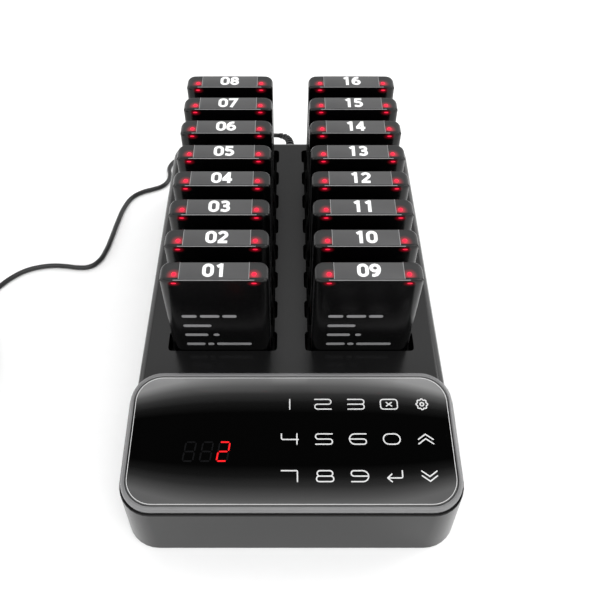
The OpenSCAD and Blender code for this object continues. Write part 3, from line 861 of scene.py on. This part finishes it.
KEY_W, KEY_H, STROKE, PRINT_T = 9.3, 6.0, 0.7, 0.05


def stadium(w, h, cy=0.0):
    """A closed round-ended loop, w by h, centred at height cy."""
    r = h / 2
    return arc(w / 2 - r, cy, r, -90, 90) + arc(-w / 2 + r, cy, r, 90, 270)


def key_strokes():
    """Every key's symbol as strokes: (points, is closed), centred on the key, in millimetres."""
    w, h, q = KEY_W / 2, KEY_H / 2, KEY_H / 4
    turn_right = arc(w - q, q, q, 90, -90)
    turn_left = arc(-w + q, -q, q, 90, 270)
    two = [(-w, h), *turn_right, *turn_left, (w, -h)]
    five = [(-x, y) for x, y in two]
    three = [([(-w, h), *turn_right, (-w, 0)], False),
             ([(w - q - 0.4, 0), *arc(w - q, -q, q, 90, -90), (-w, -h)], False)]
    four = [([(-w, h), (-w, 0.5), (-w + 0.2, 0.05), (-w + 0.7, -0.25), (w, -0.25)], False),
            ([(w - 0.7, h), (w - 0.7, -h)], False)]
    six = [([(w, h), *arc(-w + h, 0, h, 90, 270), *arc(w - q, -q, q, -90, 90), (-w + 0.4, 0)],
            False)]
    seven = [([(-w, h), (w - 1.2, h), (w - 0.75, h - 0.12), (w - 0.6, h - 0.6), (w - 0.6, -h)],
              False)]
    nine = [([(-x, -y) for x, y in six[0][0]], False)]
    eight = [(stadium(KEY_W - 0.9, KEY_H / 2, q), True), (stadium(KEY_W, KEY_H / 2, -q), True)]
    erase = [([(x, y) for x, y in outline(9.6, KEY_H, 1.6, 5)], True),
             ([(-1.5, 1.1), (1.5, -1.1)], False), ([(-1.5, -1.1), (1.5, 1.1)], False)]
    cog = []
    for k in range(72):
        a = 2 * math.pi * k / 72
        r = 3.0 + 0.36 * math.tanh(1.3 * math.cos(8 * a))
        cog.append((r * math.cos(a), r * math.sin(a)))
    cog_ring = [(1.05 * x, 1.05 * y) for x, y in arc(0, 0, 1, 0, 330, 11)]
    settings = [(cog, True), (cog_ring, True)]
    send = [([(w - 0.5, h), (w - 0.5, -0.2), (w - 0.75, -0.75), (w - 1.3, -1), (-w + 0.9, -1)],
             False),
            ([(-w + 3, 1.1), (-w + 0.7, -1), (-w + 3, -3.1)], False)]
    up = [([(-4.1, y - 1.5), (0, y + 1.5), (4.1, y - 1.5)], False) for y in (1.3, -1.3)]
    down = [([(x, -y) for x, y in points], closed) for points, closed in up]
    one, zero = [([(0, h), (0, -h)], False)], [(stadium(KEY_W, KEY_H), True)]
    return [[one, [(two, False)], three, erase, settings],
            [four, [(five, False)], six, zero, up], [seven, eight, nine, send, down]]


KEY_COLUMNS = [-0.9, 18.0, 36.8, 55.6, 74.4]
KEY_ROWS = [-20.5, -41.4, -62.4]
KEY_NAMES = [["1", "2", "3", "erase", "settings"], ["4", "5", "6", "0", "up"],
             ["7", "8", "9", "send", "down"]]


def printed_keys():
    """Each key's symbol, printed on the glass as a thin raised layer."""
    for names, strokes_in_row, y in zip(KEY_NAMES, key_strokes(), KEY_ROWS):
        for name, strokes, x in zip(names, strokes_in_row, KEY_COLUMNS):
            bm = bmesh.new()
            for layer, (points, closed) in enumerate(strokes):
                spots = [((x + a) * MM, (y + b) * MM) for a, b in points]
                top = GLASS_TOP + (PRINT_T + 0.006 * layer) * MM
                ribbon(bm, spots, STROKE * MM, top, PRINT_T * MM, closed)
            show(f"key_{name}", made_mesh(f"key_{name}", bm, key_print_and_highlight), place=panel_place)


printed_keys()

# The three display digits, in millimetres on the panel, and where each segment runs
DIGIT_X, DIGIT_Y, DIGIT_W, DIGIT_H, SLANT = (-56, -46.6, -37.4), -48.6, 5.6, 10.8, 0.13
SEGMENTS = {"a": ((0, 2), (1, 2)), "b": ((1, 2), (1, 1)), "c": ((1, 1), (1, 0)),
            "d": ((0, 0), (1, 0)), "e": ((0, 1), (0, 0)), "f": ((0, 2), (0, 1)),
            "g": ((0, 1), (1, 1))}


def digit_segments(bm, x, names):
    """Bars of a seven-segment digit, each pointed at its ends."""
    bar, tip = 0.42, 0.35
    for name in names:
        (ax, ay), (bx, by) = SEGMENTS[name]
        a = Vector(((ax - 0.5) * DIGIT_W, (ay - 1) * DIGIT_H / 2))
        b = Vector(((bx - 0.5) * DIGIT_W, (by - 1) * DIGIT_H / 2))
        step = (b - a).normalized()
        side = Vector((-step.y, step.x)) * bar
        a, b = a + step * tip, b - step * tip
        corners = [a, a + step * bar - side, b - step * bar - side, b, b - step * bar + side,
                   a + step * bar + side]
        rings = [[((x + c.x + c.y * SLANT) * MM, (DIGIT_Y + c.y) * MM, z) for c in corners]
                 for z in (GLASS_TOP, GLASS_TOP + 0.03 * MM)]
        loft(bm, rings)


def display():
    lit, dark = bmesh.new(), bmesh.new()
    digit_segments(lit, DIGIT_X[2], "abged")
    digit_segments(dark, DIGIT_X[2], "cf")
    for x in DIGIT_X[:2]:
        digit_segments(dark, x, "abcdefg")
    show("display_lit", made_mesh("display_lit", lit, segment_lit), place=panel_place)
    show("display_dark", made_mesh("display_dark", dark, segment_dark), place=panel_place)


display()


# ---------- pagers ----------

CROWN_FROM, CROWN_DROP, CORNER_R = 22 * MM, 1.8 * MM, 5 * MM
BODY_Y = FRONT_T + 0.04 * MM
RUNS = 26
FRONT_SIDE, FRONT_DEEP, SHARPEN = 6 * MM, 3.4 * MM, 2.6 * MM


def crowned(x, z):
    """The pager's top falls away gently towards its two ends."""
    share = max(0, (abs(x) - CROWN_FROM) / (PAGER_W / 2 - CROWN_FROM))
    lift = max(0, (z - 0.9 * PAGER_H) / (0.1 * PAGER_H))
    return z - CROWN_DROP * (1 - math.sqrt(1 - min(share, 0.995) ** 2)) * lift


def front_corner(start, count, end=math.pi / 2):
    """Pairs (inset, depth) round an oval front corner of the pager's body, seen from above,
    from the depth start on to the angle end: a right angle is the front, 0 the side."""
    turns = [mix(math.asin(1 - start / FRONT_DEEP), end, k / (count - 1)) for k in range(count)]
    return [(FRONT_SIDE * (1 - math.cos(a)), FRONT_DEEP * (1 - math.sin(a))) for a in turns]


def front_cover_mesh():
    """Glossy cover: flat in front, with round front corners that sharpen at the top."""
    side, bow, edge, rim = 6 * MM, 1.2 * MM, 0.9 * MM, 0.5 * MM
    top_levels = [(0.04 * MM, FRONT_T), (0, FRONT_T - 0.04 * MM)]
    for tilt in (90, 78, 66, 54, 42, 32, 22):
        a = math.radians(tilt)
        top_levels.append((edge * (1 - math.sin(a)), bow + edge * (0.927 - math.cos(a))))
    start = top_levels[-1][0]
    for k in range(1, 11):
        top_levels.append((start + (side - start) * k / 10, bow * (1 - k / 10) ** 2))
    low_levels = front_corner(FRONT_T, len(top_levels))
    rings = []
    for levels in zip(low_levels, top_levels):
        shapes = []
        for in_x, y in levels:
            in_z = rim - math.sqrt(max(0, rim ** 2 - max(0, rim - y) ** 2)) if y < rim else 0
            shapes.append(outline(PAGER_W - 2 * in_x, PAGER_H - 2 * in_z, 2.6 * MM - in_z, 8,
                                  RUNS))
        ring = []
        for (low_x, low_z), (top_x, top_z) in zip(*shapes):
            share = min(1, max(0, 1 + (top_z - PAGER_H / 2) / SHARPEN))
            x, z = mix(low_x, top_x, share), mix(low_z, top_z, share) + PAGER_H / 2
            ring.append((x, mix(levels[0][1], levels[1][1], share), crowned(x, z)))
        rings.append(ring)
    return made_mesh("pager_front", lofted(rings), pager_gloss, 50)


def rear_outline(inset, roundness=1.0):
    """Plan of the rear shell: its front corners go on from the cover's, the back ones are
    quarter circles."""
    half, front = PAGER_W / 2 - inset, BODY_Y + min(inset, 0.05 * MM)
    reach = PAGER_W / 2 - CORNER_R
    across = [2 * k / (RUNS + 1) - 1 for k in range(RUNS + 2)]
    corner = [(half - roundness * inward, max(front, y)) for inward, y in
              front_corner(BODY_Y, 6, 0)]
    points = [(corner[0][0] * s, front) for s in across] + corner[1:]
    points += arc(reach, PAGER_T - CORNER_R, CORNER_R - inset, 0, 90)
    points += [(-reach * s, PAGER_T - inset) for s in across[1:-1]]
    points += arc(-reach, PAGER_T - CORNER_R, CORNER_R - inset, 90, 180)
    return points + [(-x, y) for x, y in reversed(corner[1:])]


def rear_shell_mesh():
    """Satin shell behind the front cover, crowned on top, with its outer edges rounded."""
    rings = [[(x, y, fall) for x, y in rear_outline(inset)]
             for inset, fall in reversed(rounding(0.8 * MM, 4))]
    rings.append([(x, y, crowned(x, PAGER_H - SHARPEN)) for x, y in rear_outline(0)])
    for inset, fall in rounding(1.3 * MM):
        shape = rear_outline(inset, fall / SHARPEN)
        rings.append([(x, y, crowned(x, PAGER_H - fall)) for x, y in shape])
    last = rear_outline(1.3 * MM, 0)
    middle_y = (BODY_Y + PAGER_T) / 2
    spine = PAGER_W / 2 - 6.8 * MM
    for share in (0.3, 0.6, 0.97):
        ring = []
        for x, y in last:
            at_x = mix(x, max(-spine, min(spine, x)), share)
            ring.append((at_x, mix(y, middle_y, share), crowned(at_x, PAGER_H)))
        rings.append(ring)
    return made_mesh("pager_shell", lofted(rings), pager_shell_black, 40)


LABEL_X, LABEL_FRONT, LABEL_BACK = 18.6 * MM, 1.1 * MM, 12.6 * MM
LINE_X, NUMBER_Y = 21.5 * MM, 7.2 * MM


def label_mesh():
    """Thin number label across the top."""
    depth = LABEL_BACK - LABEL_FRONT
    rings = []
    for inset, z in ((0, 0), (0, 0.05 * MM), (0.03 * MM, 0.07 * MM)):
        shape = outline(2 * (LABEL_X - inset), depth - 2 * inset, 0.3 * MM, 3, RUNS)
        rings.append([(x, y + (LABEL_FRONT + LABEL_BACK) / 2, crowned(x, PAGER_H) + z)
                      for x, y in shape])
    return made_mesh("pager_label", lofted(rings), sticker_grey)


def painted_highlights_mesh():
    """Painted highlights: pale grey on the label's two cut ends and a line along the top's front edge,
    standing in for the light those edges catch.
    """
    bm = bmesh.new()
    for side in (-1, 1):
        z = crowned(LABEL_X, PAGER_H)
        box(bm, (side * LABEL_X - 0.12 * MM, LABEL_FRONT, z - 0.05 * MM),
            (side * LABEL_X + 0.12 * MM, LABEL_BACK + 0.1 * MM, z + 0.09 * MM))
    # Painted highlight along the top's front edge
    box(bm, (-LINE_X, 0.25 * MM, PAGER_H - 0.3 * MM), (LINE_X, 0.6 * MM, PAGER_H + 0.01 * MM))
    return made_mesh("pager_label_edges", bm, painted_highlight_grey)


# Centre lines of the numerals, 6.2 mm by 9.2 mm with their 2 mm stroke: (points, is closed)
LOOP_SIX = [([(1.8, 3.45), (0.7, 3.6), (-0.6, 3.1), (-1.6, 1.8), (-2.1, 0), (-2.12, -1.5)],
             False), (arc(0, -1.5, 2.1, 0, 330, 11), True)]
NUMERALS = {
    "0": [([(y, -x) for x, y in stadium(7.3, 4.3)], True)],
    "1": [([(0.5, 4.6), (0.5, -4.6)], False), ([(0.9, 4.05), (-1.7, 2.5)], False)],
    "2": [([(-2.2, 2.3), *arc(0, 1.65, 2.0, 140, -30, 10), (-1.9, -3.4)], False),
          ([(-2.7, -3.65), (2.6, -3.65)], False)],
    "3": [([(-2.2, 3.1), *arc(-0.1, 1.9, 1.75, 120, -90, 10), (-1.1, 0.15)], False),
          ([(-1.1, 0.15), *arc(0, -1.75, 1.9, 90, -125, 10), (-2.4, -3.2)], False)],
    "4": [([(1.0, 4.0), (-2.3, -1.4)], False), ([(-2.9, -1.75), (2.9, -1.75)], False),
          ([(1.0, 4.6), (1.0, -4.6)], False)],
    "5": [([(2.2, 3.65), (-1.5, 3.65), (-1.7, 0.2)], False),
          ([(-1.8, 0.4), *arc(-0.1, -1.45, 2.15, 100, -125, 10), (-2.4, -3.2)], False)],
    "6": LOOP_SIX,
    "7": [([(-2.9, 3.65), (2.1, 3.65), (-1.1, -4.6)], False)],
    "8": [(arc(0, 1.85, 1.75, 0, 330, 11), True),
          (arc(0, -1.7, 1.95, 0, 330, 11), True)],
    "9": [([(-x, -y) for x, y in points], closed) for points, closed in LOOP_SIX]}


def number_mesh(text):
    """Bold numerals across the label, read from the front."""
    bm = bmesh.new()
    layer = 0
    for figure, middle_x in zip(text, (-3.25, 3.25)):
        for points, closed in NUMERALS[figure]:
            spots = [((x + middle_x) * MM, y * MM + NUMBER_Y) for x, y in points]
            top = PAGER_H + (0.11 + 0.008 * layer) * MM
            ribbon(bm, spots, 1.95 * MM, top, 0.06 * MM, closed, round_ends=False)
            layer += 1
    return made_mesh("numerals", bm, print_white)


def lamp_windows_mesh():
    """Two round lenses on top and two low oval windows near the front cover's upper edge."""
    bm = bmesh.new()
    dome = [(1.3, -0.4), (1.3, 0.03), (1.2, 0.16), (0.9, 0.28), (0.5, 0.34), (0, 0.36)]
    for side in (-1, 1):
        at = (side * LENS_X, LENS_Y, crowned(LENS_X, PAGER_H))
        turned(bm, in_mm(dome), Matrix.Translation(at), 32)
        at = Matrix.Translation((side * LENS_X, 0, PAGER_H - WINDOW_DOWN))
        facing = at @ Matrix.Rotation(math.radians(90), 4, "X") @ Matrix.Diagonal((1.4, 0.5, 1, 1))
        turned(bm, in_mm([(1, -0.3), (1, 0.02), (0.8, 0.06), (0, 0.08)]), facing, 32)
    return made_mesh("pager_lamps", bm, lens_red)


# Printed lines: height in millimetres above the floor, then bars and gaps in turn
SLOGAN = [(85.2, (8.5, 1.8, 11, 1.6, 8)), (76.2, (16,)), (67.2, (13.5, 3, 3.4)),
          (57.8, (11, 1.6, 3.6, 1.6, 20.5))]


def slogan_mesh():
    """Four printed lines as plain bars, one bar for each word."""
    bm = bmesh.new()
    for z, parts in SLOGAN:
        x = -20.5
        for k, length in enumerate(parts):
            if k % 2 == 0:
                shape = outline(length * MM, 2.4 * MM, 1.1 * MM, 5)
                loft(bm, [[((x + length / 2) * MM + a, y, z * MM - POCKET_Z + b)
                           for a, b in shape] for y in (0.03 * MM, -0.04 * MM)])
            x += length
    return made_mesh("pager_slogan", bm, print_grey)


def contacts_mesh():
    """Two gold charging contacts that stand a little out of the lower edge."""
    bm = bmesh.new()
    profile = [(0, 0.7), (0.7, 0.66), (1.5, 0.55), (1.8, 0.6), (1.8, 2), (0, 2)]
    for side in (-1, 1):
        at = Matrix.Translation((side * CONTACT_X, CONTACT_Y, -0.75 * MM))
        turned(bm, in_mm(profile), at, 32)
    return made_mesh("pager_contacts", bm, gold)


def pagers():
    """Every pager's pieces; all but the number share their meshes."""
    front, shell, label = front_cover_mesh(), rear_shell_mesh(), label_mesh()
    edges, lamps = painted_highlights_mesh(), lamp_windows_mesh()
    slogan, contacts = slogan_mesh(), contacts_mesh()
    for number, place in zip(PAGERS, pager_places()):
        body = f"pager_{number}"
        first = number == "01"
        pieces = [("gloss_cover", front, [f"{body}_front_cover"], "pager_front"),
                  ("shell", shell, [f"{body}_rear_{'cover' if first else 'unit'}"], "pager_shell"),
                  ("label", label), ("label_edges", edges), ("number", number_mesh(number)),
                  ("lamps", lamps, ["pager_01_lenses"] if first else [], "lamp"),
                  ("slogan_bars", slogan),
                  ("contact_pads", contacts, ["pager_01_contacts"] if first else [], "gold")]
        for name, mesh, *rest in pieces:
            show(f"{body}_{name}", mesh, body, place, *rest)


pagers()


# ---------- CAD nodes that stay ----------

KEPT = [
    (well_black, ["base_bottom"]), (prong_metal, ["adapter_prongs"]),
    (green_board, ["touch_sensor", "control_board", "charge_board_left", "charge_board_right",
                   "pager_01_board"]),
    (part_black, ["display_module", "key_beeper", "dc_jack", "pager_01_buzzer"]),
    (copper, ["antenna", "pager_01_motor_weight"]), (gold, ["charge_pins"]),
    (wire_red, ["wire_harness"]), (steel, ["screws", "pager_01_motor"]),
    (battery_foil, ["pager_01_battery"])]
for kept_material, names in KEPT:
    for node in [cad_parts[name] for name in names]:
        node.data.materials.clear()
        node.data.materials.append(kept_material)
        flat = node.modifiers.new("flat", "DECIMATE")
        flat.decimate_type = "DISSOLVE"
        flat.angle_limit = math.radians(1)
        bevel(node, 0.15 * MM)


# ---------- floor and light ----------

def studio_floor():
    floor_mesh = bpy.data.meshes.new("floor")
    half = 30.0
    floor_mesh.from_pydata([(-half, -half, 0), (half, -half, 0), (half, half, 0),
                            (-half, half, 0)], [], [(0, 1, 2, 3)])
    floor_mesh.materials.append(finish("floor", (0.95, 0.95, 0.95), 0.9, grain=0, spread=0.01))
    linked("floor", floor_mesh)


# Brightness of the surroundings. Ahead and behind: by angle, where 0 is level behind the base,
# 0.5 overhead and 1 level in front of it. At the sides: by height.
SKY_AHEAD = [(0.0, 1.15), (0.07, 1.15), (0.12, 0.85), (0.2, 0.95), (0.26, 1.2), (0.29, 1.8),
             (0.335, 2.2), (0.355, 0.04), (0.475, 0.03), (0.495, 2.6), (0.64, 2.8), (0.72, 1.15),
             (1.0, 1.15)]
SKY_ASIDE = [(0.0, 1.6), (0.1, 2.4), (0.33, 2.4), (0.5, 1.0), (0.7, 0.6), (1.0, 0.3)]
SKY_TOP = 3.0
KEY_PLACE = (1.0, 0.5, 1.1)


def studio_light():
    """White surroundings with soft boxes behind and above, and a weak key from the right."""
    world = bpy.data.worlds.new("studio")
    bpy.context.scene.world = world
    world.use_nodes = True
    tree = world.node_tree
    background = tree.nodes["Background"]
    background.inputs["Strength"].default_value = SKY_TOP
    coords, split = add_node(tree, "TexCoord"), add_node(tree, "SeparateXYZ")
    angle = add_node(tree, "Math", operation="ARCTAN2")
    share = add_node(tree, "Math", {1: math.pi}, "DIVIDE")
    aside = add_node(tree, "Math", operation="ABSOLUTE")
    turned_aside = add_node(tree, "MapRange", {"From Min": 0.38, "From Max": 0.66})
    turned_aside.interpolation_type = "SMOOTHSTEP"
    ahead_ramp = grey_ramp(tree, SKY_AHEAD, SKY_TOP)
    aside_ramp = grey_ramp(tree, SKY_ASIDE, SKY_TOP)
    blend = color_mix(tree)
    wire(tree, (coords, "Generated", split, 0), (split, "Z", angle, 0), (split, "Y", angle, 1),
         (angle, share), (share, ahead_ramp), (split, "Z", aside_ramp, 0), (split, "X", aside, 0),
         (aside, turned_aside), (turned_aside, 0, blend, "Factor"), (ahead_ramp, 0, blend, "A"),
         (aside_ramp, 0, blend, "B"), (blend, "Result", background, "Color"))
    key = bpy.data.lights.new("key", "AREA")
    key.energy = 6
    key.size = 0.6
    key_object = linked("key", key)
    key_object.location = KEY_PLACE
    key_object.rotation_euler = Vector(KEY_PLACE).to_track_quat("Z", "Y").to_euler()


studio_floor()
studio_light()
